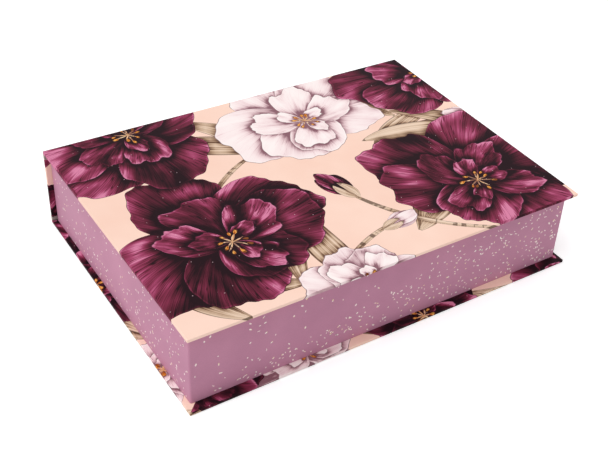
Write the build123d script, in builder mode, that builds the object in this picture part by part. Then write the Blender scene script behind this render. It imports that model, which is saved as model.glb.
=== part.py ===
from build123d import *

import os

# A book-style rigid gift box: a paper-covered board case folded round a board tray.
# The case is three boards, lid, spine and base, in one printed wrap that creases between them.
# The tray is six boards and a rail in a plain wrap, glued to the base and to the spine.
# Millimetres. X runs along the spine, +Y points to the spine and +Z is up. The origin is on
# the table, under the middle of the closed box.

# The closed case
case_length = 330.0
case_depth = 243.0
box_height = 67.0
case_board = 2.1
paper = 0.2
turn_in = 20.0
panel_round = 0.4

# The tray inside the case
side_margin = 4.0
fore_margin = 7.5
tray_board = 2.0
tape = 0.12
glue_line = 0.03
tape_leg = 18.0
turn_under = 12.0
tray_round = 1.4

# The double front wall and its magnets
rail_width = 10.0
rail_thickness = 3.0
magnet_diameter = 8.0
magnet_thickness = 1.8
pocket_fit = 0.1
magnet_inset = 62.0

# The creases, and the fit of the lining papers
crease_gap = 0.3
crease_height = 4.0
lining_fit = 0.5

# Levels and lines of the case, whose panels are paper, board and paper
panel = case_board + 2 * paper
lid_bottom = box_height - panel
case_front = -case_depth / 2
case_back = case_depth / 2
spine_front = case_back - panel
spine_board_bottom = panel + crease_gap
spine_board_top = lid_bottom - crease_gap - paper
lower_crease_top = panel + crease_height
upper_crease_bottom = lid_bottom - crease_height
case_board_length = case_length - 2 * paper
case_board_depth = case_depth - 2 * paper

# The outside of the tray, over its paper
tray_length = case_length - 2 * side_margin
tray_front = case_front + fore_margin
tray_depth = spine_front - tray_front
tray_middle = (spine_front + tray_front) / 2

# The tray's boards, inside its paper and its corner tapes
boards_inset = paper + glue_line + tape
boards_length = tray_length - 2 * boards_inset
boards_depth = tray_depth - 2 * boards_inset
boards_front = tray_front + boards_inset
boards_back = spine_front - boards_inset
boards_round = tray_round - boards_inset
between_sides = boards_length - 2 * tray_board
floor_bottom = panel + paper
floor_top = floor_bottom + tray_board
wall_top = lid_bottom - paper
wall_height = wall_top - floor_top

# The room inside the tray, inside its paper
rail_front = boards_front + tray_board
rail_back = rail_front + rail_width
room_front = rail_back + tray_board + paper
room_back = boards_back - tray_board - paper
room_depth = room_back - room_front
room_middle = (room_back + room_front) / 2
room_length = between_sides - 2 * paper

# The magnets stand over one another in pairs, on the middle line of the rail
magnet_line = (rail_front + rail_back) / 2
magnet_spacing = case_length - 2 * magnet_inset
pocket_radius = magnet_diameter / 2 + pocket_fit
pocket_depth = magnet_thickness + pocket_fit

# A box is placed by the middle of its underside, and a wall by its lower front edge
on_base = (Align.CENTER, Align.CENTER, Align.MIN)
on_edge = (Align.CENTER, Align.MIN, Align.MIN)

# Base: a board in printed paper, which turns in round the four edges to its upper side
with BuildPart() as base_board:
    with Locations((0, 0, paper)):
        Box(case_board_length, case_board_depth, case_board, align=on_base)

with BuildPart() as base_cover_paper:
    Box(case_length, case_depth, panel, align=on_base)
    fillet(base_cover_paper.edges().group_by(Axis.Z)[0], panel_round)
    with Locations((0, 0, paper)):
        Box(case_board_length, case_board_depth, case_board, align=on_base, mode=Mode.SUBTRACT)
    with Locations((0, 0, panel - paper)):
        Box(
            case_length - 2 * turn_in,
            case_depth - 2 * turn_in,
            paper,
            align=on_base,
            mode=Mode.SUBTRACT,
        )

with BuildPart() as base_crease_paper:
    with Locations((0, case_back - paper, panel)):
        Box(case_length, paper, crease_height, align=on_edge)

# Spine: a board in the same printed paper, lined inside and over its upper edge
with BuildPart() as spine_board:
    with Locations((0, spine_front + paper, spine_board_bottom)):
        Box(case_board_length, case_board, spine_board_top - spine_board_bottom, align=on_edge)

spine_paper_height = upper_crease_bottom - lower_crease_top
with BuildPart() as spine_cover_paper:
    with Locations((0, spine_front, lower_crease_top)):
        Box(case_length, panel, spine_paper_height, align=on_edge)
    with Locations((0, spine_front + paper, lower_crease_top)):
        Box(case_board_length, case_board, spine_paper_height, align=on_edge, mode=Mode.SUBTRACT)
    with Locations((0, spine_front, lower_crease_top)):
        Box(
            case_length - 2 * turn_in,
            paper,
            spine_paper_height,
            align=on_edge,
            mode=Mode.SUBTRACT,
        )

with BuildPart() as spine_lining_paper:
    with Locations((0, spine_front, lower_crease_top)):
        Box(
            case_length - 2 * (turn_in + lining_fit),
            paper,
            spine_board_top + paper - lower_crease_top,
            align=on_edge,
        )
    with Locations((0, spine_front, spine_board_top)):
        Box(case_board_length, panel - paper, paper, align=on_edge)

# Upper crease: the strip of the printed paper that bends as the lid opens
with BuildPart() as lid_hinge_paper:
    with Locations((0, case_back - paper, upper_crease_bottom)):
        Box(case_length, paper, crease_height, align=on_edge)

# Lid: a board with two magnet pockets in its underside, in printed paper, lined below
with BuildPart() as lid_board:
    with Locations((0, 0, lid_bottom + paper)):
        Box(case_board_length, case_board_depth, case_board, align=on_base)
    with BuildSketch(Plane.XY.offset(lid_bottom + paper)):
        with Locations((0, magnet_line)):
            with GridLocations(magnet_spacing, 0, 2, 1):
                Circle(pocket_radius)
    extrude(amount=pocket_depth, mode=Mode.SUBTRACT)

with BuildPart() as lid_magnets:
    with BuildSketch(Plane.XY.offset(lid_bottom + paper)):
        with Locations((0, magnet_line)):
            with GridLocations(magnet_spacing, 0, 2, 1):
                Circle(magnet_diameter / 2)
    extrude(amount=magnet_thickness)

with BuildPart() as lid_cover_paper:
    with Locations((0, 0, lid_bottom)):
        Box(case_length, case_depth, panel, align=on_base)
    fillet(lid_cover_paper.edges().group_by(Axis.Z)[-1], panel_round)
    with Locations((0, 0, lid_bottom + paper)):
        Box(case_board_length, case_board_depth, case_board, align=on_base, mode=Mode.SUBTRACT)
    with Locations((0, 0, lid_bottom)):
        Box(
            case_length - 2 * turn_in,
            case_depth - 2 * turn_in,
            paper,
            align=on_base,
            mode=Mode.SUBTRACT,
        )

with BuildPart() as lid_lining_paper:
    with Locations((0, 0, lid_bottom)):
        Box(
            case_length - 2 * (turn_in + lining_fit),
            case_depth - 2 * (turn_in + lining_fit),
            paper,
            align=on_base,
        )

# Tray boards: the floor carries four walls, and the two side walls run past the others
with BuildPart() as tray_floor_board:
    with BuildSketch(Plane.XY.offset(floor_bottom)):
        with Locations((0, tray_middle)):
            RectangleRounded(boards_length, boards_depth, boards_round)
    extrude(amount=tray_board)

side_wall_x = (boards_length - tray_board) / 2
with BuildPart() as tray_left_wall_board:
    with Locations((-side_wall_x, boards_front, floor_top)):
        Box(tray_board, boards_depth, wall_height, align=on_edge)
    left_corners = tray_left_wall_board.edges().filter_by(Axis.Z).group_by(Axis.X)[0]
    fillet(left_corners, boards_round)

with BuildPart() as tray_right_wall_board:
    with Locations((side_wall_x, boards_front, floor_top)):
        Box(tray_board, boards_depth, wall_height, align=on_edge)
    right_corners = tray_right_wall_board.edges().filter_by(Axis.Z).group_by(Axis.X)[-1]
    fillet(right_corners, boards_round)

with BuildPart() as tray_front_wall_board:
    with Locations((0, boards_front, floor_top)):
        Box(between_sides, tray_board, wall_height, align=on_edge)

with BuildPart() as tray_back_wall_board:
    with Locations((0, boards_back - tray_board, floor_top)):
        Box(between_sides, tray_board, wall_height, align=on_edge)

# Double front wall: a second board behind the first, and a rail between their upper edges
with BuildPart() as tray_front_inner_board:
    with Locations((0, rail_back, floor_top)):
        Box(between_sides, tray_board, wall_height, align=on_edge)

with BuildPart() as tray_front_rail:
    with Locations((0, rail_front, wall_top - rail_thickness)):
        Box(between_sides, rail_width, rail_thickness, align=on_edge)
    with BuildSketch(Plane.XY.offset(wall_top - pocket_depth)):
        with Locations((0, magnet_line)):
            with GridLocations(magnet_spacing, 0, 2, 1):
                Circle(pocket_radius)
    extrude(amount=pocket_depth, mode=Mode.SUBTRACT)

with BuildPart() as tray_magnets:
    with BuildSketch(Plane.XY.offset(wall_top - magnet_thickness)):
        with Locations((0, magnet_line)):
            with GridLocations(magnet_spacing, 0, 2, 1):
                Circle(magnet_diameter / 2)
    extrude(amount=magnet_thickness)

# Corner tapes: four stays, each folded round an upright corner of the boards
with BuildPart() as tray_corner_tapes:
    with BuildSketch(Plane.XY.offset(floor_top)):
        with Locations((0, tray_middle)):
            RectangleRounded(
                boards_length + 2 * tape,
                boards_depth + 2 * tape,
                boards_round + tape,
            )
            RectangleRounded(boards_length, boards_depth, boards_round, mode=Mode.SUBTRACT)
            Rectangle(case_length, boards_depth - 2 * tape_leg, mode=Mode.SUBTRACT)
            Rectangle(boards_length - 2 * tape_leg, case_depth, mode=Mode.SUBTRACT)
    extrude(amount=wall_height)

# Tray paper: one wrap, up the outside, over the rims, down the inside and under the floor
with BuildPart() as tray_wrap_paper:
    with BuildSketch(Plane.XY.offset(panel)):
        with Locations((0, tray_middle)):
            RectangleRounded(tray_length, tray_depth, tray_round)
    extrude(amount=lid_bottom - panel)
    with BuildSketch(Plane.XY.offset(floor_bottom)):
        with Locations((0, tray_middle)):
            RectangleRounded(
                tray_length - 2 * paper,
                tray_depth - 2 * paper,
                tray_round - paper,
            )
    extrude(amount=wall_top - floor_bottom, mode=Mode.SUBTRACT)
    with BuildSketch(Plane.XY.offset(floor_top)):
        with Locations((0, room_middle)):
            Rectangle(room_length + 2 * paper, room_depth + 2 * paper)
    extrude(amount=wall_top - floor_top)
    with BuildSketch(Plane.XY.offset(floor_top)):
        with Locations((0, room_middle)):
            Rectangle(room_length, room_depth)
    extrude(amount=lid_bottom - floor_top, mode=Mode.SUBTRACT)
    with BuildSketch(Plane.XY.offset(panel)):
        with Locations((0, tray_middle)):
            Rectangle(boards_length - 2 * turn_under, boards_depth - 2 * turn_under)
    extrude(amount=paper, mode=Mode.SUBTRACT)

with BuildPart() as tray_floor_lining:
    with Locations((0, room_middle, floor_top)):
        Box(room_length - lining_fit, room_depth - lining_fit, paper, align=on_base)

# Each piece is labelled and written under its own name
pieces = {
    "base_board": base_board,
    "base_cover_paper": base_cover_paper,
    "base_crease_paper": base_crease_paper,
    "spine_board": spine_board,
    "spine_cover_paper": spine_cover_paper,
    "spine_lining_paper": spine_lining_paper,
    "lid_hinge_paper": lid_hinge_paper,
    "lid_board": lid_board,
    "lid_magnets": lid_magnets,
    "lid_cover_paper": lid_cover_paper,
    "lid_lining_paper": lid_lining_paper,
    "tray_floor_board": tray_floor_board,
    "tray_left_wall_board": tray_left_wall_board,
    "tray_right_wall_board": tray_right_wall_board,
    "tray_front_wall_board": tray_front_wall_board,
    "tray_back_wall_board": tray_back_wall_board,
    "tray_front_inner_board": tray_front_inner_board,
    "tray_front_rail": tray_front_rail,
    "tray_magnets": tray_magnets,
    "tray_corner_tapes": tray_corner_tapes,
    "tray_wrap_paper": tray_wrap_paper,
    "tray_floor_lining": tray_floor_lining,
}
os.makedirs("parts", exist_ok=True)
for name, piece in pieces.items():
    piece.part.label = name
    export_step(piece.part, f"parts/{name}.step")
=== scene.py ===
import bpy
import math

import numpy as np
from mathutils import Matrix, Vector
from mathutils.geometry import delaunay_2d_cdt


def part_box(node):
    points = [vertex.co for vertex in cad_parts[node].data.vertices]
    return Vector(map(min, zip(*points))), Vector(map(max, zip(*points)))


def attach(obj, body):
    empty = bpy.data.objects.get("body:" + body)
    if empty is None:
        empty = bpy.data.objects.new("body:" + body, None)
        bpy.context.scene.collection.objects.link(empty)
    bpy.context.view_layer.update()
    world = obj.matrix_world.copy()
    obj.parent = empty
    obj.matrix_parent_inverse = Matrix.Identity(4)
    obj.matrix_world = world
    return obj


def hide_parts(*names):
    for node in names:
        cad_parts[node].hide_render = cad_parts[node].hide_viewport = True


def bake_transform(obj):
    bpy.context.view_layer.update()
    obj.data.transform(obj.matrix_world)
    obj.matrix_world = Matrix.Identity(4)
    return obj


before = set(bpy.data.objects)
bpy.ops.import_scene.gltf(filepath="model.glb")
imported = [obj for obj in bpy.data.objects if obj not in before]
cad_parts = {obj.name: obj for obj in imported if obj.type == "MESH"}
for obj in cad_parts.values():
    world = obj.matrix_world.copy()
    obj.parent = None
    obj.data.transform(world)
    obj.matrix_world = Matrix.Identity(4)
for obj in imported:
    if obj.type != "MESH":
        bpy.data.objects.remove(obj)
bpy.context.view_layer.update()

# Studio: the box stands on a white table in a white room, with a broad lamp over its left end.
# The table is bright to the camera, but still takes the box's soft shadow.


def shader_node(tree, kind, sockets=None, **settings):
    """Add a node, set its settings, and fill its sockets with values or with other nodes' outputs."""
    made = tree.nodes.new(kind)
    for name, value in settings.items():
        setattr(made, name, value)
    for name, value in (sockets or {}).items():
        if isinstance(value, bpy.types.NodeSocket):
            tree.links.new(value, made.inputs[name])
        else:
            made.inputs[name].default_value = value
    return made


def calc(tree, operation, first, second=0.5, third=0.5):
    """One step of arithmetic between values or outputs."""
    values = {0: first, 1: second, 2: third}
    return shader_node(tree, "ShaderNodeMath", values, operation=operation).outputs[0]


def colour(red, green, blue):
    """A colour written as it looks on a screen, from 0 to 255, as the renderer takes it."""
    linear = []
    for level in (red, green, blue):
        share = level / 255
        linear.append(share / 12.92 if share < 0.04045 else ((share + 0.055) / 1.055) ** 2.4)
    return (*linear, 1.0)


room_light = 0.67
lamp_strength = 1.34
lamp_spread = math.radians(50)
lamp_from = Vector((-0.57, 0.08, 0.82))
table_half = 3.0
table_drop = 0.0002
table_glow = 0.42
table_paint = (0.86, 0.86, 0.86, 1)
pure_white = (1, 1, 1, 1)

world = bpy.data.worlds.new("white_room")
bpy.context.scene.world = world
world.use_nodes = True
tree = world.node_tree
tree.nodes.clear()
path = shader_node(tree, "ShaderNodeLightPath").outputs
seen = calc(tree, "MAXIMUM", path["Is Camera Ray"], path["Is Glossy Ray"])
seen = calc(tree, "MAXIMUM", seen, path["Is Transmission Ray"])
around = shader_node(tree, "ShaderNodeBackground", {"Color": pure_white, "Strength": room_light})
backdrop = shader_node(tree, "ShaderNodeBackground", {"Color": pure_white, "Strength": 1.0})
mixed = shader_node(tree, "ShaderNodeMixShader", {0: seen, 1: around.outputs[0], 2: backdrop.outputs[0]})
shader_node(tree, "ShaderNodeOutputWorld", {"Surface": mixed.outputs[0]})

lamp_data = bpy.data.lights.new("lamp", "SUN")
lamp_data.energy = lamp_strength
lamp_data.angle = lamp_spread
lamp = bpy.data.objects.new("lamp", lamp_data)
lamp.rotation_euler = lamp_from.to_track_quat("Z", "Y").to_euler()
bpy.context.scene.collection.objects.link(lamp)

table_mesh = bpy.data.meshes.new("table")
table_corners = [(side_x * table_half, side_y * table_half, -table_drop)
                 for side_x, side_y in ((-1, -1), (1, -1), (1, 1), (-1, 1))]
table_mesh.from_pydata(table_corners, [], [(0, 1, 2, 3)])
table = bpy.data.objects.new("table", table_mesh)
bpy.context.scene.collection.objects.link(table)
white = bpy.data.materials.new("table_white")
white.use_nodes = True
tree = white.node_tree
tree.nodes.clear()
path = shader_node(tree, "ShaderNodeLightPath").outputs
matt = shader_node(tree, "ShaderNodeBsdfDiffuse", {"Color": table_paint})
glow_level = calc(tree, "MULTIPLY", path["Is Camera Ray"], table_glow)
glow = shader_node(tree, "ShaderNodeEmission", {"Color": pure_white, "Strength": glow_level})
both = shader_node(tree, "ShaderNodeAddShader", {0: matt.outputs[0], 1: glow.outputs[0]})
shader_node(tree, "ShaderNodeOutputMaterial", {"Surface": both.outputs[0]})
table_mesh.materials.append(white)

# Camera: it looks down over the front left corner of the box, as the photograph does. Its place,
# turn and lens come from the straight edges of the panels.
camera_place = (-0.3701, -0.56269, 0.51668)
camera_turn = (53.363, -3.903, -34.074)
camera_lens = 62.697
camera_film = 36.0
camera_shift = -0.09627
camera_nearest = 0.01

camera_data = bpy.data.cameras.new("camera")
camera_data.sensor_width = camera_film
camera_data.lens = camera_lens
camera_data.shift_x = camera_shift
camera_data.clip_start = camera_nearest
camera = bpy.data.objects.new("camera", camera_data)
camera.location = camera_place
camera.rotation_euler = [math.radians(angle) for angle in camera_turn]
bpy.context.scene.collection.objects.link(camera)
bpy.context.scene.camera = camera
bpy.context.scene.view_settings.view_transform = "Standard"

# Boards: grey case board under every paper, cut from sheets of pressed waste fibre. The spine's
# board shows at the ends of the creases, and the others only at a hair's gap between papers.
# All keep the shape that they have in the frame.


def new_material(name):
    """A material with a principled shader, and its tree, shader and object coordinates."""
    material = bpy.data.materials.new(name)
    material.use_nodes = True
    made_tree = material.node_tree
    shader = made_tree.nodes["Principled BSDF"]
    places = shader_node(made_tree, "ShaderNodeTexCoord").outputs["Object"]
    return material, made_tree, shader, places


def ramp(tree, factor, stops):
    """A colour ramp through (position, colour) stops."""
    made = shader_node(tree, "ShaderNodeValToRGB", {"Fac": factor})
    points = made.color_ramp.elements
    while len(points) < len(stops):
        points.new(0.5)
    for point, (position, shade) in zip(points, stops):
        point.position = position
        point.color = shade
    return made.outputs["Color"]


def grain(tree, places, scale, detail=2.0, stretch=None):
    """A noise pattern, stretched first along one axis or more where asked."""
    if stretch:
        places = shader_node(tree, "ShaderNodeMapping", {"Vector": places, "Scale": stretch}).outputs[0]
    noise = shader_node(tree, "ShaderNodeTexNoise", {"Vector": places, "Scale": scale, "Detail": detail})
    return noise.outputs["Fac"]


def raise_surface(tree, shader, height, strength, distance):
    """Bump the surface by a height pattern."""
    bump = shader_node(tree, "ShaderNodeBump", {"Height": height, "Strength": strength, "Distance": distance})
    tree.links.new(bump.outputs[0], shader.inputs["Normal"])


def finish_nodes(material, names):
    """Give a material to pieces that keep their own shape."""
    for name in names:
        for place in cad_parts[name].material_slots:
            place.material = material


greyboard, tree, shader, places = new_material("greyboard")
fibres = grain(tree, places, 900, 4.0, (1, 1, 4))
blotches = grain(tree, places, 120)
shade = calc(tree, "MULTIPLY_ADD", blotches, 0.4, calc(tree, "MULTIPLY", fibres, 0.6))
board_colour = ramp(tree, shade, [(0.3, colour(118, 112, 104)), (0.5, colour(146, 141, 133)),
                                  (0.7, colour(172, 167, 158))])
tree.links.new(board_colour, shader.inputs["Base Color"])
shader.inputs["Roughness"].default_value = 0.9
raise_surface(tree, shader, fibres, 0.4, 0.0002)
finish_nodes(greyboard, [
    "base_board", "spine_board", "lid_board", "tray_floor_board", "tray_left_wall_board",
    "tray_right_wall_board", "tray_front_wall_board", "tray_back_wall_board", "tray_front_inner_board",
    "tray_front_rail",
])

# Corner tapes: brown gummed paper at the four upright corners of the tray's boards. Each strip is
# wetted and folded round its corner, and holds the boards together under the wrap.
gummed, tree, shader, places = new_material("gummed_tape")
fibres = grain(tree, places, 700, 3.0, (1, 1, 0.2))
tape_colour = ramp(tree, fibres, [(0.3, colour(150, 118, 80)), (0.7, colour(186, 154, 112))])
tree.links.new(tape_colour, shader.inputs["Base Color"])
shader.inputs["Roughness"].default_value = 0.6
raise_surface(tree, shader, fibres, 0.3, 0.0001)
finish_nodes(gummed, ["tray_corner_tapes"])

# Magnets: four nickel-plated discs, two pushed into the lid board and two into the rail of the tray.
# The two pairs lie one above the other when the lid is down, and hold it shut.
nickel, tree, shader, places = new_material("nickel_plating")
polish = grain(tree, places, 2500, 2.0)
tree.links.new(ramp(tree, polish, [(0.3, colour(176, 176, 178)), (0.7, colour(205, 205, 208))]),
               shader.inputs["Base Color"])
tree.links.new(calc(tree, "MULTIPLY_ADD", polish, 0.2, 0.18), shader.inputs["Roughness"])
shader.inputs["Metallic"].default_value = 1.0
finish_nodes(nickel, ["lid_magnets", "tray_magnets"])

# Tray wrap: one lilac paper goes up the outside of the boards, over their rims and down the inside.
# It is turned under the floor and glued all over, so the corners are soft and the faces flat.


def add_object(name, mesh):
    """Put a mesh in the scene as an object."""
    made = bpy.data.objects.new(name, mesh)
    bpy.context.scene.collection.objects.link(made)
    return made


def ring(low, high, inset, radius, height):
    """Points round a rectangle with rounded corners, counterclockwise from above."""
    points = []
    centres = ((high[0], high[1]), (low[0], high[1]), (low[0], low[1]), (high[0], low[1]))
    for corner, (edge_x, edge_y) in enumerate(centres):
        out_x = 1 if corner in (0, 3) else -1
        out_y = 1 if corner in (0, 1) else -1
        centre_x = edge_x - out_x * (inset + radius)
        centre_y = edge_y - out_y * (inset + radius)
        for step in range(corner_steps + 1):
            angle = math.pi / 2 * (corner + step / corner_steps)
            points.append((centre_x + radius * math.cos(angle), centre_y + radius * math.sin(angle), height))
    return points


paper = 0.0002
tray_round = 0.0014
room_round = 0.0008
rim_round = 0.0005
turned_under = 0.010
sharp_from = math.radians(35)
corner_steps = 8
bend_steps = 4
wrap_low, wrap_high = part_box("tray_wrap_paper")
floor_low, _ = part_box("tray_floor_lining")
inner_low, inner_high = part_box("tray_front_inner_board")
back_low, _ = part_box("tray_back_wall_board")
room_low = (inner_low[0] + paper, inner_high[1] + paper)
room_high = (inner_high[0] - paper, back_low[1] - paper)
outside_low = wrap_low[:2]
outside_high = wrap_high[:2]
rim = wrap_high[2]
foot = wrap_low[2]
floor_top = floor_low[2]

rings = [ring(outside_low, outside_high, turned_under, tray_round, foot)]
rings.append(ring(outside_low, outside_high, paper, tray_round, foot))
rings.append(ring(outside_low, outside_high, 0, tray_round, foot + paper))
for step in range(bend_steps + 1):
    angle = math.pi / 2 * step / bend_steps
    inset = rim_round * (1 - math.cos(angle))
    rings.append(ring(outside_low, outside_high, inset, tray_round, rim - rim_round * (1 - math.sin(angle))))
for step in range(bend_steps + 1):
    angle = math.pi / 2 * (1 - step / bend_steps)
    inset = -rim_round * (1 - math.cos(angle))
    rings.append(ring(room_low, room_high, inset, room_round, rim - rim_round * (1 - math.sin(angle))))
rings.append(ring(room_low, room_high, 0, room_round, floor_top))
rings.append(ring(room_low, room_high, -paper, room_round, floor_top))
rings.append(ring(room_low, room_high, -paper, room_round, rim - paper))
rings.append(ring(outside_low, outside_high, paper, tray_round, rim - paper))
rings.append(ring(outside_low, outside_high, paper, tray_round, foot + paper))
rings.append(ring(outside_low, outside_high, turned_under, tray_round, foot + paper))
points_round = len(rings[0])
wrap_faces = []
for level in range(len(rings)):
    above = (level + 1) % len(rings)
    for spot in range(points_round):
        beside = (spot + 1) % points_round
        wrap_faces.append((level * points_round + spot, level * points_round + beside,
                           above * points_round + beside, above * points_round + spot))
wrap_mesh = bpy.data.meshes.new("tray_wrap")
wrap_mesh.from_pydata([point for loop in rings for point in loop], [], wrap_faces)
wrap_mesh.shade_smooth()
wrap_mesh.set_sharp_from_angle(angle=sharp_from)
tray_wrap = add_object("tray_wrap", wrap_mesh)

lilac, tree, shader, places = new_material("lilac_paper")
cloudy = grain(tree, places, 35, 3.0)
fibres = grain(tree, places, 1400, 3.0, (1, 1, 2.5))
tooth = grain(tree, places, 5200, 2.0)
shade = calc(tree, "MULTIPLY_ADD", cloudy, 0.5, calc(tree, "MULTIPLY", fibres, 0.5))
lilac_stops = [(0.30, colour(185, 127, 153)), (0.5, colour(193, 134, 160)), (0.70, colour(201, 141, 167))]
tree.links.new(ramp(tree, shade, lilac_stops), shader.inputs["Base Color"])
tree.links.new(calc(tree, "MULTIPLY_ADD", fibres, 0.2, 0.38), shader.inputs["Roughness"])
shader.inputs["Specular IOR Level"].default_value = 0.25
raise_surface(tree, shader, tooth, 0.12, 0.00005)
wrap_mesh.materials.append(lilac)
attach(tray_wrap, "box")
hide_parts("tray_wrap_paper")

# Foil flecks: chips of pale gold foil stamped on the lilac paper, in loose clusters, and some drawn out like
# splinters.
# They are set thick at the right of the front wall and thin towards the left: a painted glint, as the foil
# glints more at the right.
fleck_size = 0.00078
fleck_height = 0.00003
fleck_shortest = 0.6
fleck_longest = 1.8
fleck_narrowest = 0.4
fleck_widest = 0.95
fleck_sides = 5
flecks_each_square_metre = 330000.0
share_at_left_end = 0.05
share_at_most = 0.52
share_more_on_left_wall = 0.18
share_between_clusters = 0.10
clusters_each_metre = 70.0
turned_away = 0.5


def carry(tree, value, low, high, at_low, at_high, way="LINEAR"):
    """Carry a value from one range to another, and hold it at the ends."""
    ranges = {"Value": value, "From Min": low, "From Max": high, "To Min": at_low, "To Max": at_high}
    return shader_node(tree, "ShaderNodeMapRange", ranges, interpolation_type=way).outputs[0]


flecks_tree = bpy.data.node_groups.new("foil_flecks", "GeometryNodeTree")
for label, kind, side in (("Paper", "Geometry", "INPUT"), ("Size", "Float", "INPUT"),
                          ("Height", "Float", "INPUT"), ("Density", "Float", "INPUT"),
                          ("Half length", "Float", "INPUT"), ("Foil", "Material", "INPUT"),
                          ("Flecks", "Geometry", "OUTPUT")):
    flecks_tree.interface.new_socket(label, in_out=side, socket_type="NodeSocket" + kind)
given = flecks_tree.nodes.new("NodeGroupInput").outputs
place = shader_node(flecks_tree, "GeometryNodeInputPosition").outputs[0]
along = shader_node(flecks_tree, "ShaderNodeSeparateXYZ", {0: place})
# More flecks towards the right of the front wall: painted glint, by number of chips.
share_right = calc(flecks_tree, "DIVIDE", along.outputs["X"], given["Half length"])
share_right = calc(flecks_tree, "MULTIPLY_ADD", share_right, 0.5, 0.5)
share_right = calc(flecks_tree, "POWER", calc(flecks_tree, "MAXIMUM", share_right, 0.0), 2.0)
normal = shader_node(flecks_tree, "GeometryNodeInputNormal").outputs[0]
facing = shader_node(flecks_tree, "ShaderNodeSeparateXYZ", {0: normal})
on_left = calc(flecks_tree, "LESS_THAN", facing.outputs["X"], -turned_away)
on_left = calc(flecks_tree, "MULTIPLY", on_left, share_more_on_left_wall)
cluster = grain(flecks_tree, place, clusters_each_metre)
cluster = carry(flecks_tree, cluster, 0.44, 0.66, share_between_clusters, 1.0)
likely = calc(flecks_tree, "MULTIPLY_ADD", share_right, 1.0, share_at_left_end)
likely = calc(flecks_tree, "ADD", calc(flecks_tree, "MINIMUM", likely, share_at_most), on_left)
not_at_back = calc(flecks_tree, "LESS_THAN", facing.outputs["Y"], turned_away)
likely = calc(flecks_tree, "MULTIPLY", likely, not_at_back)
likely = calc(flecks_tree, "MULTIPLY", likely, cluster)
density = calc(flecks_tree, "MULTIPLY", likely, given["Density"])
scattered = shader_node(flecks_tree, "GeometryNodeDistributePointsOnFaces",
                        {"Mesh": given["Paper"], "Density": density, "Seed": 11}, distribute_method="RANDOM")
chip = shader_node(flecks_tree, "GeometryNodeMeshCylinder",
                   {"Vertices": fleck_sides, "Radius": given["Size"], "Depth": given["Height"]})
spin = shader_node(flecks_tree, "FunctionNodeRandomValue", {2: 0.0, 3: math.tau, "Seed": 3},
                   data_type="FLOAT")
spin = shader_node(flecks_tree, "FunctionNodeAxisAngleToRotation",
                   {"Axis": (0, 0, 1), "Angle": spin.outputs[1]})
turned = shader_node(flecks_tree, "FunctionNodeRotateRotation",
                     {"Rotation": scattered.outputs["Rotation"], "Rotate By": spin.outputs[0]},
                     rotation_space="LOCAL")
sized = shader_node(flecks_tree, "FunctionNodeRandomValue",
                    {0: (fleck_shortest, fleck_narrowest, 1), 1: (fleck_longest, fleck_widest, 1), "Seed": 5},
                    data_type="FLOAT_VECTOR")
placed = shader_node(flecks_tree, "GeometryNodeInstanceOnPoints",
                     {"Points": scattered.outputs["Points"], "Instance": chip.outputs["Mesh"],
                      "Rotation": turned.outputs[0], "Scale": sized.outputs[0]})
real = shader_node(flecks_tree, "GeometryNodeRealizeInstances", {0: placed.outputs[0]})
foiled = shader_node(flecks_tree, "GeometryNodeSetMaterial",
                     {"Geometry": real.outputs[0], "Material": given["Foil"]})
shader_node(flecks_tree, "NodeGroupOutput", {"Flecks": foiled.outputs[0]})

foil, tree, shader, places = new_material("pale_foil")
mixed_foil = grain(tree, places, 420, 1.0)
foil_stops = [(0.38, colour(255, 236, 232)), (0.52, colour(255, 246, 240)), (0.66, colour(252, 224, 178))]
tree.links.new(ramp(tree, mixed_foil, foil_stops), shader.inputs["Base Color"])
tree.links.new(calc(tree, "MULTIPLY_ADD", mixed_foil, 0.3, 0.2), shader.inputs["Roughness"])
shader.inputs["Metallic"].default_value = 0.12
raise_surface(tree, shader, grain(tree, places, 500), 1.0, 0.0009)


def grown(source, growth, values, name):
    """The plain mesh that a node tree makes from an object's mesh, as a new object."""
    modifier = source.modifiers.new("growth", "NODES")
    modifier.node_group = growth
    for item in growth.interface.items_tree:
        if item.in_out == "INPUT" and item.name in values:
            modifier[item.identifier] = values[item.name]
    shown = source.evaluated_get(bpy.context.evaluated_depsgraph_get())
    mesh = bpy.data.meshes.new_from_object(shown)
    source.modifiers.remove(modifier)
    return add_object(name, mesh)


walls_mesh = bpy.data.meshes.new("fleck_walls")
clear = fleck_longest * fleck_size
wall_rings = [ring(outside_low, outside_high, 0, tray_round + clear, foot + clear),
              ring(outside_low, outside_high, 0, tray_round + clear, rim - rim_round - clear)]
flat_spots = range(corner_steps, points_round, corner_steps + 1)
wall_faces = [(spot, (spot + 1) % points_round, points_round + (spot + 1) % points_round, points_round + spot)
              for spot in flat_spots]
walls_mesh.from_pydata(wall_rings[0] + wall_rings[1], [], wall_faces)
walls = add_object("fleck_walls", walls_mesh)
flecks = grown(walls, flecks_tree, {
    "Size": fleck_size, "Height": fleck_height, "Density": flecks_each_square_metre,
    "Half length": wrap_high[0], "Foil": foil,
}, "tray_foil_flecks")
bpy.data.objects.remove(walls)
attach(flecks, "box")

# Linings: plain lilac paper, cut a little small and glued in last, on the tray's floor, under the
# lid and over the spine. Each keeps the shape that it has in the frame.
lining, tree, shader, places = new_material("lining_paper")
cloudy = grain(tree, places, 45, 3.0)
fibres = grain(tree, places, 1100, 3.0, (1, 3, 1))
shade = calc(tree, "MULTIPLY_ADD", cloudy, 0.25, calc(tree, "MULTIPLY", fibres, 0.75))
lining_stops = [(0.30, colour(178, 124, 148)), (0.5, colour(186, 132, 156)), (0.70, colour(194, 140, 164))]
tree.links.new(ramp(tree, shade, lining_stops), shader.inputs["Base Color"])
tree.links.new(calc(tree, "MULTIPLY_ADD", fibres, 0.2, 0.5), shader.inputs["Roughness"])
raise_surface(tree, shader, fibres, 0.2, 0.00006)
finish_nodes(lining, ["tray_floor_lining", "lid_lining_paper", "spine_lining_paper"])

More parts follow.
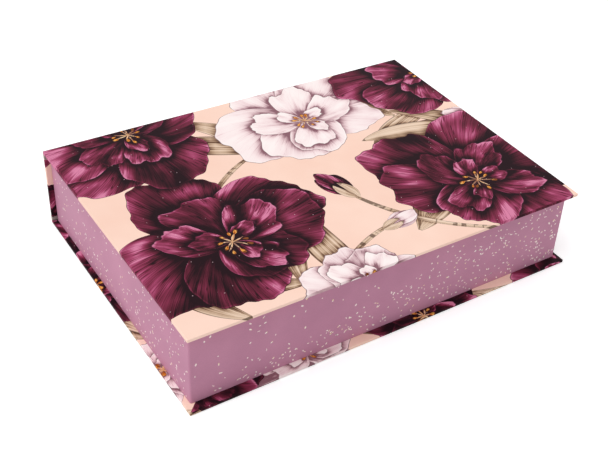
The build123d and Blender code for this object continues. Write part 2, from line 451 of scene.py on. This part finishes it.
# Print: one sheet of art paper covers lid, spine and base, with large blossoms, buds and leaves
# on a peach ground. The design is drawn flat, in millimetres from the middle of the lid, and each
# panel's paper is then cut from it and folded round its board, so that it runs on over every edge.
mm = 0.001
dice = np.random.default_rng(29)
lid_low, lid_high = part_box("lid_cover_paper")
half_long = lid_high[0] / mm
half_deep = lid_high[1] / mm
panel = (lid_high[2] - lid_low[2]) / mm
box_top = lid_high[2] / mm
base_middle = 2 * half_deep + box_top
motifs = []
any_phase = (0, 6.3)
petal_waves = ((0.045, 5, 8), (0.028, 12, 17), (0.010, 31, 43))
well_outside = 9.0
least_reach = 1e-6
least_width = 1e-4
least_bend = 1e-3


def ripple(v, waves):
    """A wavy edge, as the sum of (height, turns, phase) waves."""
    return sum(height * np.sin(turns * v + phase) for height, turns, phase in waves)


def add_petal(kind, base, aim, reach, spread, curl=0.0, fullness=0.45, ruffle=1.0, light=0.0):
    """A petal that fans out from its base: v runs across it from -1 to 1, and u outwards from 0 to 1."""
    waves = [(height * ruffle * dice.uniform(0.7, 1.3), dice.uniform(fewest, most), dice.uniform(*any_phase))
             for height, fewest, most in petal_waves]

    def edge(v):
        full = np.cos(np.clip(v, -1, 1) * math.pi / 2).clip(0, 1) ** fullness
        return reach * np.maximum(full * (1 + ripple(v, waves)), least_reach)

    def inside(x, y):
        dx = x - base[0]
        dy = y - base[1]
        far = np.hypot(dx, dy)
        turn = np.arctan2(dy, dx) - aim - curl * far / reach
        v = ((turn + math.pi) % (2 * math.pi) - math.pi) / spread
        return far / edge(v) + well_outside * (np.abs(v) > 1), np.clip(v, -1, 1), edge(v)

    v = np.sin(np.linspace(-math.pi / 2, math.pi / 2, max(24, int(reach * spread * 1.5))))
    far = edge(v)
    turn = v * spread + aim + curl * far / reach
    outline = np.column_stack((base[0] + far * np.cos(turn), base[1] + far * np.sin(turn)))
    motifs.append({"kind": kind, "inside": inside, "outline": outline, "waves": waves, "light": light,
                   "seed": dice.uniform(0, 1)})


def add_blade(kind, start, aim, length, half_width, bend=0.0, light=0.0, blunt=0.75):
    """A leaf or stem along an arc. Across it runs v, from -1 to 1, and along it runs u, from 0 to 1."""
    bend = bend if abs(bend) > least_bend else least_bend
    radius = length / bend
    centre = (start[0] - radius * math.sin(aim), start[1] + radius * math.cos(aim))
    first = math.atan2(start[1] - centre[1], start[0] - centre[0])
    phase = dice.uniform(*any_phase)

    def width(u):
        u = np.clip(u, 0, 1)
        return half_width * np.maximum(np.sin(math.pi * (0.02 + 0.98 * u)) ** blunt
                                       * (1 + 0.05 * np.sin(9 * u + phase)), least_width)

    def inside(x, y):
        dx = x - centre[0]
        dy = y - centre[1]
        turn = (np.arctan2(dy, dx) - first) * math.copysign(1, bend)
        turn = (turn + math.pi) % (2 * math.pi) - math.pi
        u = turn / abs(bend)
        off = (abs(radius) - np.hypot(dx, dy)) * math.copysign(1, bend)
        v = off / width(u)
        return np.abs(v) + well_outside * ((u < 0) | (u > 1)), np.clip(v, -1, 1), np.clip(u, 0, 1)

    steps = max(16, int(length / 3))
    u = np.linspace(0, 1, steps)
    along = first + u * abs(bend) * math.copysign(1, bend)
    sides = []
    for side in (1, -1):
        far = abs(radius) - side * width(u) * math.copysign(1, bend)
        sides.append(np.column_stack((centre[0] + far * np.cos(along), centre[1] + far * np.sin(along))))
    outline = np.vstack((sides[0], sides[1][::-1]))
    motifs.append({"kind": kind, "inside": inside, "outline": outline, "waves": [], "light": light,
                   "seed": dice.uniform(0, 1), "blade": True})


outer_petals = ((1.62, 1.0), (2.85, 0.95), (0.35, 0.97), (-2.42, 0.80), (-0.62, 0.84), (-1.5, 0.68))
cup_petals = ((1.3, 0.60), (2.7, 0.54), (-0.1, 0.56), (-1.9, 0.44))
heart_petals = ((2.2, 0.30), (0.4, 0.28), (-1.3, 0.26))
petal_foot = 4
heart_back = 0.08
stalks = 9
stalk_width = 0.6
stem_width = 2.2
stem_bend = 0.8
sepal_foot = 3


def beyond(spot, aim, far):
    """The point that lies so far from a spot in a direction."""
    return spot[0] + far * math.cos(aim), spot[1] + far * math.sin(aim)


def add_blossom(kind, x, y, size, tilt):
    """A full open blossom: outer petals, tall behind and short in front, an inner cup and anthers."""
    for turn, share in outer_petals:
        aim = tilt + turn + dice.uniform(-0.12, 0.12)
        add_petal(kind, beyond((x, y), aim, -petal_foot), aim,
                  size * share * dice.uniform(0.94, 1.05), dice.uniform(0.84, 0.98),
                  curl=dice.uniform(-0.35, 0.35), fullness=dice.uniform(0.34, 0.44), ruffle=0.9,
                  light=dice.uniform(-0.14, 0.10))
    heart = beyond((x, y), tilt + 1.57, -heart_back * size)
    for turn, share in cup_petals:
        add_petal(kind, heart, tilt + turn + dice.uniform(-0.25, 0.25),
                  size * share * dice.uniform(0.92, 1.08), dice.uniform(0.70, 0.92),
                  curl=dice.uniform(-0.5, 0.5), fullness=0.42, ruffle=1.5,
                  light=dice.uniform(-0.04, 0.18))
    for turn, share in heart_petals:
        add_petal(kind, heart, tilt + turn, size * share, dice.uniform(0.6, 0.8),
                  curl=dice.uniform(-0.4, 0.4), fullness=0.5, ruffle=1.6, light=dice.uniform(0.0, 0.2))
    for index in range(stalks):
        aim = 2 * math.pi * index / stalks + dice.uniform(-0.2, 0.2)
        far = size * dice.uniform(0.08, 0.13)
        add_blade("stalk", heart, aim, far, stalk_width, bend=dice.uniform(-0.6, 0.6))
        add_petal("anther", beyond(heart, aim, far - 2), aim + dice.uniform(-0.5, 0.5),
                  dice.uniform(4.0, 6.0), 0.6, fullness=0.5, ruffle=0.6)


def add_bud(kind, x, y, size, aim):
    """A half-open bud on its stem, with two sepals round its foot."""
    bend = stem_bend if dice.uniform(-1, 1) > 0 else -stem_bend
    chord = size * 3.0 * math.sin(bend / 2) / (bend / 2)
    back = beyond((x, y), aim - bend / 2, -chord)
    add_blade("leaf", back, aim - bend, size * 3.1, stem_width, bend, blunt=0.12)
    for turn, share in ((0.42, 0.9), (-0.42, 0.9), (0.0, 1.0)):
        add_petal(kind, (x, y), aim + turn, size * share, 0.42, curl=-turn * 0.8, fullness=0.5, ruffle=0.8,
                  light=0.05 * share)
    for turn in (0.5, -0.5):
        add_blade("leaf", beyond((x, y), aim, -sepal_foot), aim + turn, size * 0.62, size * 0.09,
                  bend=-turn * 1.6, light=0.1)


leaf_plan = [
    (-158, -40, -1.1, 120, 12, 0.9), (-30, -20, -1.9, 130, 13, 0.7), (60, 0, 0.35, 130, 13, -0.8),
    (30, -100, 0.7, 120, 12, 0.8), (-150, 60, 0.9, 110, 12, -0.9), (0, 30, 2.3, 130, 13, 0.7),
    (80, 128, -1.2, 120, 12, 0.8), (170, -20, 2.4, 120, 12, 0.8), (-50, 150, -2.2, 120, 12, 0.8),
    (-60, 190, 0.4, 130, 13, -0.8), (90, 205, 2.6, 130, 12, 0.8), (-150, 260, 0.9, 120, 12, 0.9),
    (20, 300, -0.4, 130, 12, 0.8), (150, 330, 2.2, 120, 12, -0.8), (-90, 380, 0.2, 130, 12, 0.8),
    (60, 425, 2.7, 140, 12, -0.7), (165, 250, 1.3, 110, 11, 0.8), (-20, 240, 1.2, 110, 11, -0.9),
    (-170, 430, 0.2, 120, 12, 0.5), (110, 400, 0.7, 100, 11, -0.8), (-20, 370, 2.6, 110, 11, 0.8),
    (-182, 356, -0.9, 110, 12, 0.8), (70, 440, -0.7, 100, 12, 0.9),
]
for x, y, aim, length, half_width, bend in leaf_plan:
    add_blade("leaf", (x, y), aim, length, half_width, bend, dice.uniform(-0.08, 0.08))
    beside = aim - 0.35 * math.copysign(1, bend)
    add_blade("leaf", (x, y), beside, length * 0.8, half_width * 0.8, bend * 0.7, dice.uniform(-0.08, 0.08))

blossom_plan = [
    ("blush", 34, 74, 84, 0.3), ("blush", -30, -134, 62, 2.7), ("blush", -176, -60, 50, -0.5),
    ("plum", -96, -40, 96, 0.35), ("plum", 112, -62, 98, -0.5), ("plum", -104, 108, 88, 2.4),
    ("plum", 166, 92, 84, 1.2),
    ("plum", 58, 214, 88, 0.9), ("blush", -66, 204, 66, 2.2), ("plum", -158, 186, 62, 0.2),
    ("plum", -40, 306, 96, 3.0), ("blush", 84, 318, 76, 0.3), ("plum", -168, 282, 52, 1.4),
    ("plum", 170, 406, 66, 2.5), ("plum", 26, 440, 62, 0.1), ("blush", -74, 448, 60, 1.2),
    ("blush", -168, 388, 42, -0.6), ("plum", -150, 462, 56, -0.6), ("plum", 176, 236, 70, 0.8),
]
bud_plan = [
    ("plum", 14, -42, 40, 1.9), ("blush", 176, 10, 34, 2.7), ("plum", -34, 38, 36, 0.4),
    ("blush", 10, -86, 32, 0.2), ("blush", -10, 178, 32, 1.1), ("plum", 130, 268, 34, 2.2),
    ("plum", 20, 372, 34, 0.4), ("blush", -100, 376, 32, 2.4),
]
for plan in bud_plan:
    add_bud(*plan)
for plan in blossom_plan:
    add_blossom(*plan)

turn_in = 20.0
reach = panel + turn_in
fold_round = 0.4
fold_rows = (-fold_round, -0.14, 0.0, 0.14, fold_round)
weave = 4.2
merged_within = 0.01
least_area = 1e-7
rim_scale = 12
relief = 4
shadow_margin = 9
shadow_depth = {"plum": 4.5, "blush": 4.5, "leaf": 1.6, "stalk": 1.6, "anther": 1.6}
shadow_fall = 1.3
far_off = 99.0
batch = 60
inks = ("ground", "plum", "blush", "leaf", "stalk", "anther")


def fold(flat, half_x, half_y, inset=0.0):
    """Fold flat points round a panel's edges: down its thickness, and then inwards under it."""
    sign = np.sign(flat)
    halves = np.array((half_x, half_y))
    over = np.maximum(np.abs(flat) - halves, 0)
    inward = np.maximum(over - panel, 0)
    sides = sign * (np.minimum(np.abs(flat), halves) - inward)
    solid = np.column_stack((sides, -np.minimum(over, panel).max(axis=1)))
    low = np.array((-half_x + fold_round, -half_y + fold_round, -panel + fold_round))
    high = np.array((half_x - fold_round, half_y - fold_round, -fold_round))
    core = np.clip(solid, low, high)
    out = solid - core
    return core + out * ((fold_round - inset) / np.maximum(np.linalg.norm(out, axis=1), 1e-9))[:, None]


def cut_paper(name, low, high, sheet_middle, half_x, half_y, keep, place, rows=()):
    """Cut one panel's paper from the design, fold it and set it in place, as a new object."""
    points = []
    edges = []

    def draw(path, closed=False):
        start = len(points)
        points.extend(Vector(point) for point in path)
        edges.extend((start + step, start + step + 1) for step in range(len(path) - 1))
        if closed:
            edges.append((start + len(path) - 1, start))

    near = []
    for rank, motif in enumerate(motifs):
        outline = motif["outline"] - np.array((0, sheet_middle))
        if (outline.max(0) > low).all() and (outline.min(0) < high).all():
            near.append((rank, motif, outline))
            draw([tuple(point) for point in outline], closed=True)
    for axis, half in ((0, half_x), (1, half_y)):
        if high[axis] <= half:
            continue
        for side in (-1, 1):
            for row in (*fold_rows, *(panel + row for row in fold_rows)):
                across = side * (half + row)
                if axis == 0:
                    draw(((across, low[1]), (across, high[1])))
                else:
                    draw(((low[0], across), (high[0], across)))
    if high[0] > half_x and high[1] > half_y:
        for east in (-1, 1):
            for north in (-1, 1):
                draw(((east * half_x, north * (half_y + panel)),
                      (east * (half_x - turn_in), north * (half_y + reach))))
                draw(((east * (half_x + panel), north * half_y),
                      (east * (half_x + reach), north * (half_y - turn_in))))
    draw(((low[0], low[1]), (high[0], low[1]), (high[0], high[1]), (low[0], high[1])), closed=True)
    for row in rows:
        draw(((low[0], row), (high[0], row)))
    across = np.arange(low[0] + weave / 2, high[0], weave)
    along = np.arange(low[1] + weave / 2, high[1], weave)
    for index, level in enumerate(along):
        points.extend(Vector((spot + weave / 4 * (-1) ** index, level)) for spot in across)
    spots, _, faces, _, _, _ = delaunay_2d_cdt(points, edges, [], 0, merged_within)
    flat = np.array([tuple(spot) for spot in spots])
    faces = np.array(faces)
    span = flat[faces]
    middle = span.mean(axis=1)
    area = np.cross(span[:, 1] - span[:, 0], span[:, 2] - span[:, 0])
    kept = keep(middle[:, 0], middle[:, 1]) & (np.abs(area) > least_area)
    faces = faces[kept]
    middle = middle[kept]
    faces[area[kept] < 0] = faces[area[kept] < 0][:, ::-1]

    owner = np.full(len(faces), -1)
    for rank, motif, _ in near:
        u, _, _ = motif["inside"](middle[:, 0], middle[:, 1] + sheet_middle)
        owner[u < 1] = rank
    # Each corner of a face has its place on its petal, and its ink: the light on it, the shade of what
    # lies above it, how far it is from the rim, and a number of the petal's own.
    corner_spots = flat[faces].reshape(-1, 2)
    corner_owner = np.repeat(owner, 3)
    petal_uv = np.zeros((len(corner_spots), 2))
    ink = np.zeros((len(corner_spots), 4))
    ink_of_face = np.zeros(len(faces), dtype=int)
    for rank, motif, _ in near:
        mine = corner_owner == rank
        if not mine.any():
            continue
        ink_of_face[owner == rank] = inks.index(motif["kind"])
        u, v, third = motif["inside"](corner_spots[mine, 0], corner_spots[mine, 1] + sheet_middle)
        if motif.get("blade"):
            petal_uv[mine] = np.column_stack((third, v))
            ink[mine, 2] = np.clip(1 - u, 0, 1)
        else:
            petal_uv[mine] = np.column_stack((np.clip(u, 0, 1), v))
            ink[mine, 2] = np.clip((1 - u) * third / rim_scale, 0, 1)
        ink[mine, 0] = 0.5 + motif["light"] + relief * ripple(v, motif["waves"][:2])
        ink[mine, 3] = motif["seed"]
    for rank, motif, outline in near:
        below = (corner_owner < rank) & (corner_owner >= 0)
        below &= (corner_spots > outline.min(0) - shadow_margin).all(axis=1)
        below &= (corner_spots < outline.max(0) + shadow_margin).all(axis=1)
        if not below.any():
            continue
        chosen = corner_spots[below]
        gaps = np.full(len(chosen), far_off)
        for start in range(0, len(outline), batch):
            part = outline[start:start + batch]
            gaps = np.minimum(gaps, np.linalg.norm(chosen[:, None] - part[None], axis=2).min(axis=1))
        depth = shadow_depth[motif["kind"]]
        ink[below, 1] = np.maximum(ink[below, 1], np.exp(-(gaps / depth) ** shadow_fall))

    used, fresh = np.unique(faces, return_inverse=True)
    fresh = fresh.reshape(-1, 3)
    count = len(used)
    sides = np.vstack((fresh[:, [0, 1]], fresh[:, [1, 2]], fresh[:, [2, 0]]))
    _, first, shared = np.unique(np.sort(sides, axis=1), axis=0, return_index=True, return_counts=True)
    cut = sides[first[shared == 1]]
    cut_faces = np.column_stack((cut[:, 1], cut[:, 0], cut[:, 0] + count, cut[:, 1] + count))
    outer = fold(flat[used], half_x, half_y)
    inner = fold(flat[used], half_x, half_y, paper / mm)
    mesh = bpy.data.meshes.new(name)
    mesh.from_pydata((place(np.vstack((outer, inner))) * mm).tolist(), [],
                     fresh.tolist() + (fresh[:, ::-1] + count).tolist() + cut_faces.tolist())
    loops = len(mesh.loops)
    petal_uv = np.vstack((petal_uv, np.zeros((loops - len(petal_uv), 2))))
    ink = np.vstack((ink, np.zeros((loops - len(ink), 4))))
    ink_of_face = np.concatenate((ink_of_face, np.zeros(len(mesh.polygons) - len(ink_of_face), dtype=int)))
    mesh.uv_layers.new(name="petal").data.foreach_set("uv", petal_uv.ravel())
    mesh.attributes.new("ink", "FLOAT_COLOR", "CORNER").data.foreach_set("color", ink.ravel())
    for label in inks:
        mesh.materials.append(ink_materials[label])
    mesh.polygons.foreach_set("material_index", ink_of_face)
    mesh.update()
    return add_object(name, mesh)


ink_rough = 0.5
ink_gloss = 0.05
ground_gloss = 0.1
dots_each_metre = 260.0
dot_size = 0.09
dots_left_out = 0.72
dot_colour = colour(236, 200, 208)


def press(tree, shader, places):
    """The tooth of the art paper, which shows through every ink."""
    shader.inputs["Roughness"].default_value = ink_rough
    raise_surface(tree, shader, grain(tree, places, 3800), 0.08, 0.00004)


def new_ink(name):
    """A printed ink: its material, tree, shader and places, (u, v, seed), and (light, shade, rim)."""
    material, tree, shader, places = new_material(name)
    petal = shader_node(tree, "ShaderNodeUVMap", uv_map="petal").outputs[0]
    petal = shader_node(tree, "ShaderNodeSeparateXYZ", {0: petal}).outputs
    ink = shader_node(tree, "ShaderNodeAttribute", attribute_name="ink").outputs
    values = shader_node(tree, "ShaderNodeSeparateColor", {0: ink["Color"]}).outputs
    shader.inputs["Specular IOR Level"].default_value = ink_gloss
    press(tree, shader, places)
    return material, tree, shader, places, (petal["X"], petal["Y"], ink["Alpha"]), tuple(values)[:3]


def streaks(tree, spot, across, outwards, detail=2.0):
    """Soft streaks that run outwards along a petal."""
    u, v, seed = spot
    spot = shader_node(tree, "ShaderNodeCombineXYZ", {0: calc(tree, "MULTIPLY", v, across),
                                                      1: calc(tree, "MULTIPLY", u, outwards),
                                                      2: calc(tree, "MULTIPLY", seed, 90.0)})
    return grain(tree, spot.outputs[0], 1.0, detail)


def worked_in(tree, value, pattern, strength):
    """Make a value lighter and darker by a pattern that lies about a half."""
    return calc(tree, "MULTIPLY_ADD", calc(tree, "SUBTRACT", pattern, 0.5), strength, value)


def painted(tree, under, over, share):
    """One colour laid over another, by a share from 0 to 1."""
    made = shader_node(tree, "ShaderNodeMix", {"Factor": share, "A": under, "B": over}, data_type="RGBA")
    return made.outputs["Result"]


def petal_ink(name, stops, vein, contrast, level, rim_shade, dust=0.0):
    """An ink for petals: folds, streaks, drawn veins, a dark foot, shade from above, and an outline."""
    material, tree, shader, places, spot, (light, shade, rim) = new_ink(name)
    u, v, seed = spot
    broad = streaks(tree, spot, 2.6, 1.7)
    middle = streaks(tree, spot, 11.0, 1.3)
    drawn_veins = streaks(tree, (u, v, calc(tree, "ADD", seed, 3.0)), 25.0, 1.5, 1.0)
    fine = streaks(tree, spot, 62.0, 2.2, 3.0)
    value = worked_in(tree, level, broad, 2.4 * contrast)
    value = worked_in(tree, value, middle, 0.62 * contrast)
    value = worked_in(tree, value, fine, 1.8 * vein)
    value = worked_in(tree, value, light, 0.55 * contrast)
    off_vein = calc(tree, "ABSOLUTE", calc(tree, "SUBTRACT", drawn_veins, 0.5))
    value = calc(tree, "ADD", value, carry(tree, off_vein, 0.0, 0.03, -1.5 * vein, 0.0))
    value = calc(tree, "ADD", value, carry(tree, u, 0.05, 0.8, -0.30, 0.10, "SMOOTHSTEP"))
    value = calc(tree, "MULTIPLY_ADD", shade, -0.7, value)
    value = calc(tree, "ADD", value, carry(tree, rim, 0.06, 0.2, 0.22, 0.0))
    body = ramp(tree, value, stops)
    if dust:
        dots = shader_node(tree, "ShaderNodeTexVoronoi", {"Vector": places, "Scale": dots_each_metre}).outputs
        chance = shader_node(tree, "ShaderNodeSeparateColor", {0: dots["Color"]}).outputs[0]
        dot = calc(tree, "LESS_THAN", dots["Distance"], dot_size)
        dot = calc(tree, "MULTIPLY", dot, calc(tree, "GREATER_THAN", chance, dots_left_out))
        body = painted(tree, body, dot_colour, calc(tree, "MULTIPLY", dot, dust))
    drawn = painted(tree, body, rim_shade, carry(tree, rim, 0.03, 0.065, 0.9, 0.0))
    tree.links.new(drawn, shader.inputs["Base Color"])
    return material


def blade_ink(name, stops, stripes, edge_shade):
    """An ink for leaves and stalks: stripes along the blade, and a drawn edge."""
    material, tree, shader, _, spot, (_, shade, rim) = new_ink(name)
    value = worked_in(tree, 0.66, streaks(tree, spot, 3.0, 1.6, 1.0), 1.1)
    value = worked_in(tree, value, streaks(tree, spot, stripes, 1.0), 1.5)
    body = ramp(tree, calc(tree, "MULTIPLY_ADD", shade, -0.5, value), stops)
    line = calc(tree, "MULTIPLY", carry(tree, rim, 0.03, 0.12, 1.0, 0.0), 0.75)
    tree.links.new(painted(tree, body, edge_shade, line), shader.inputs["Base Color"])
    return material


ground, tree, shader, places = new_material("peach_ground")
clouds = grain(tree, places, 26, 2.0)
tree.links.new(ramp(tree, clouds, [(0.35, colour(250, 211, 193)), (0.65, colour(253, 218, 201))]),
               shader.inputs["Base Color"])
shader.inputs["Specular IOR Level"].default_value = ground_gloss
press(tree, shader, places)

ink_materials = {"ground": ground}
ink_materials["plum"] = petal_ink("plum_ink", [
    (0.02, colour(34, 15, 22)), (0.24, colour(63, 24, 35)), (0.46, colour(97, 34, 52)),
    (0.66, colour(131, 48, 75)), (0.84, colour(169, 72, 109)), (1.0, colour(216, 130, 164)),
], vein=0.30, contrast=1.0, level=0.48, rim_shade=colour(40, 16, 24), dust=0.7)
ink_materials["blush"] = petal_ink("blush_ink", [
    (0.0, colour(140, 98, 108)), (0.2, colour(202, 166, 172)), (0.42, colour(236, 209, 211)),
    (0.66, colour(250, 230, 230)), (1.0, colour(254, 243, 241)),
], vein=0.16, contrast=0.66, level=0.68, rim_shade=colour(120, 80, 86))
ink_materials["leaf"] = blade_ink("leaf_ink", [
    (0.0, colour(84, 58, 44)), (0.22, colour(146, 112, 88)), (0.44, colour(204, 173, 146)),
    (0.85, colour(240, 214, 192)),
], stripes=13.0, edge_shade=colour(82, 56, 44))
ink_materials["stalk"] = blade_ink("stalk_ink", [
    (0.1, colour(214, 150, 96)), (0.8, colour(250, 224, 190)),
], stripes=4.0, edge_shade=colour(120, 60, 60))
ink_materials["anther"] = petal_ink("anther_ink", [
    (0.0, colour(120, 52, 24)), (0.35, colour(206, 112, 40)), (0.6, colour(236, 152, 62)),
    (1.0, colour(252, 204, 120)),
], vein=0.3, contrast=0.8, level=0.5, rim_shade=colour(110, 48, 26))

# Lid paper: the printed paper of the lid, pasted over the board's top and its four edges. It is
# turned in under each edge, with mitres at the corners, and the lining lies between its cut edges.


def four_flaps(x, y):
    """Whether a flat point is on a panel or on one of its four turned-in flaps, cut to mitres."""
    over_x = np.abs(x) - half_long
    over_y = np.abs(y) - half_deep
    mitre_y = np.maximum(over_x - panel, 0)
    mitre_x = np.maximum(over_y - panel, 0)
    return ((over_x <= 0) & (over_y <= 0) | (over_x > 0) & (over_x < reach) & (over_y < -mitre_y)
            | (over_y > 0) & (over_y < reach) & (over_x < -mitre_x))


panel_reach = ((-half_long - reach, -half_deep - reach), (half_long + reach, half_deep + reach))
lid_paper = cut_paper("lid_paper", *panel_reach, 0.0, half_long, half_deep, four_flaps,
                      lambda p: p + np.array((0, 0, box_top)))
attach(lid_paper, "lid")
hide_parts("lid_cover_paper")

# Base paper: the same print, pasted under the base board and turned in over all four edges. The
# turned-in margin shows round the foot of the tray.
base_paper = cut_paper("base_paper", *panel_reach, base_middle, half_long, half_deep, four_flaps,
                       lambda p: p * np.array((1, -1, -1)))
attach(base_paper, "box")
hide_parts("base_cover_paper")

# Spine paper: the same print, pasted over the back of the spine board and turned in round both of
# its ends. Above and below it runs on into the creases.
spine_low, spine_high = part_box("spine_cover_paper")
spine_middle = half_deep + box_top / 2
spine_ends = [box_top / 2 - level / mm for level in (spine_high[2], spine_low[2])]
endless = 1000.0


def stand_up(points):
    """Set a folded paper upright behind the box."""
    return np.column_stack((points[:, 0], half_deep + points[:, 2], box_top / 2 - points[:, 1]))


def two_flaps(x, y):
    """Whether a flat point is on the spine or on the flap at either of its ends."""
    return (np.abs(x) < half_long + reach) & (y > spine_ends[0]) & (y < spine_ends[1])


spine_reach = ((-half_long - reach, spine_ends[0]), (half_long + reach, spine_ends[1]))
spine_paper = cut_paper("spine_paper", *spine_reach, spine_middle, half_long, endless, two_flaps, stand_up)
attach(spine_paper, "box")
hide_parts("spine_cover_paper")

# Creases: two narrow strips of the same print along the spine, which join it to the base and to the
# lid. The lower one stays shut and is set with the box. The upper one bends as the lid opens; here it is cut
# in rows close enough to bend, and left where it is.
crease_low, crease_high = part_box("base_crease_paper")
lower_ends = [box_top / 2 - level / mm for level in (crease_high[2], crease_low[2])]
hinge_low, hinge_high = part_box("lid_hinge_paper")
upper_ends = [box_top / 2 - level / mm for level in (hinge_high[2], hinge_low[2])]


def cut_crease(name, ends):
    """A strip of paper along the spine's edge, with rows close enough to bend."""
    rows = np.linspace(ends[0], ends[1], 11)[1:-1]
    return cut_paper(name, (-half_long, ends[0]), (half_long, ends[1]), spine_middle, endless, endless,
                     lambda x, y: (np.abs(x) < half_long) & (y > ends[0]) & (y < ends[1]), stand_up, rows)


lower_crease = cut_crease("lower_crease_paper", lower_ends)
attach(lower_crease, "box")
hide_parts("base_crease_paper")
upper_crease = cut_crease("upper_crease_paper", upper_ends)
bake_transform(upper_crease)
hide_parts("lid_hinge_paper")
